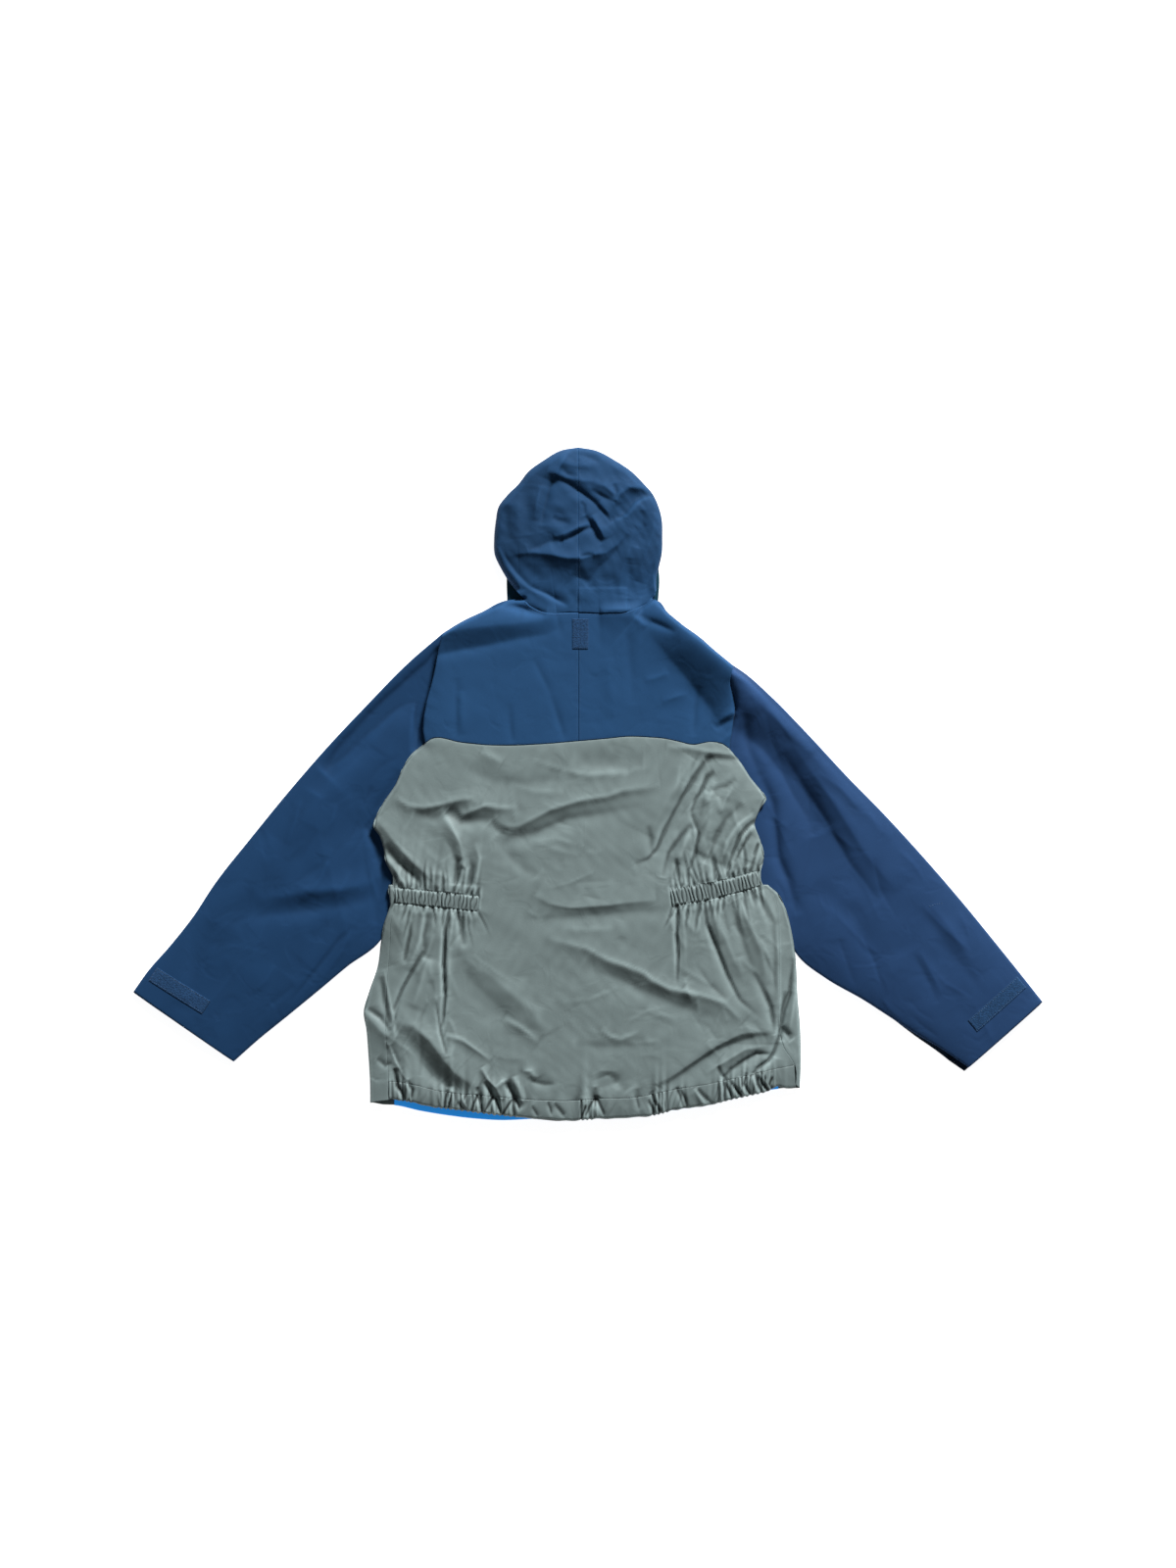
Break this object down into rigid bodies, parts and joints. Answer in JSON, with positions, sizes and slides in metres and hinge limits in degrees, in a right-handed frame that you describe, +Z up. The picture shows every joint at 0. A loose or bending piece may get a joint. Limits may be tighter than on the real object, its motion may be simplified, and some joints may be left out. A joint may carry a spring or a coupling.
{
  "type": "anorak pullover",
  "caption": "Hooded pullover anorak lying face down, with long spread sleeves, a two-colour back, elastic waist gathers and a gathered hem casing.",
  "frame": {"origin": "bottom centre of the garment's bounding box, on the surface that it lies on", "axes": "+X along the spread sleeves, towards the sleeve that is on the right when the back is seen with the hood up; +Y from the hem to the hood; +Z up, out of the back"},
  "size_m": [1.373, 1.0159, 0.0356],
  "materials": {
    "navy": "matt woven nylon",
    "navy_shade": "matt woven nylon, darker",
    "navy_tape": "napped loop tape",
    "grey_green": "crisp woven nylon",
    "bright_blue": "smooth woven nylon"
  },
  "bodies": {
    "root": {"back_body": "grey_green", "back_hem_casing": "grey_green", "back_yoke_left": "navy", "back_yoke_right": "navy", "front_body": "grey_green", "front_yoke": "navy", "front_hem_facing": "bright_blue", "sleeve_left": "navy", "sleeve_right": "navy", "cuff_tape_left": "navy_tape", "cuff_tape_right": "navy_tape", "hood_left": "navy", "hood_right": "navy", "neck_front": "navy_shade", "neck_patch": "navy_tape", "waist_elastic_left": "grey_green", "waist_elastic_right": "grey_green"}
  },
  "joints": []
}
